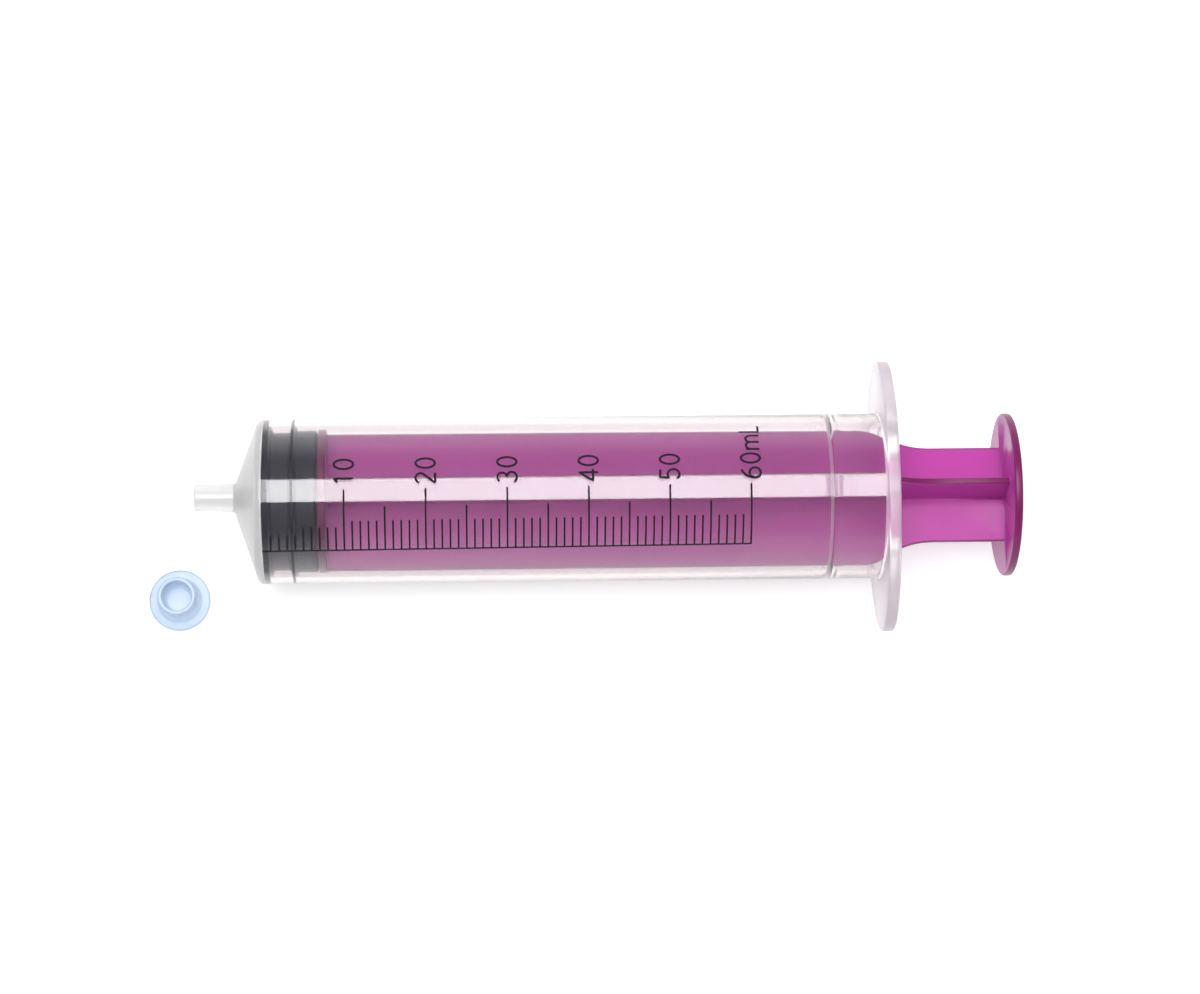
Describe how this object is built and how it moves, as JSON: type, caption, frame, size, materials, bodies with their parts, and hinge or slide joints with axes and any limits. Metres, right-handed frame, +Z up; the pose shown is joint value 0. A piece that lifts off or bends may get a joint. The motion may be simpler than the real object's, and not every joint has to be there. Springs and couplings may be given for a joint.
{
  "type": "oral syringe",
  "caption": "Large clear oral syringe with a purple plunger rod, a black rubber piston, an oval finger flange, a printed volume scale and a loose push-on tip cap.",
  "frame": {"origin": "on the table, under the syringe's axis, at the middle of the whole part's length", "axes": "+X along the syringe from its tip to its thumb press, +Y across the finger flange, away from the tip cap, +Z up from the table"},
  "size_m": [0.1658, 0.052, 0.032],
  "materials": {
    "barrel": "clear moulded polypropylene",
    "rod": "translucent purple moulded polypropylene",
    "gasket": "moulded black rubber",
    "cap": "translucent pale blue moulded polyethylene"
  },
  "bodies": {
    "barrel": {"barrel": "barrel"},
    "plunger": {"plunger_rod": "rod", "piston_gasket": "gasket"},
    "cap": {"tip_cap": "cap"}
  },
  "joints": [
    {"name": "plunger_slide", "type": "slide", "parent": "barrel", "child": "plunger", "axis": [1, 0, 0], "range_m": [0, 0.099]},
    {"name": "cap_lift", "type": "slide", "parent": "barrel", "child": "cap", "axis": [0, 0, 1], "range_m": [0, 0.04]}
  ]
}
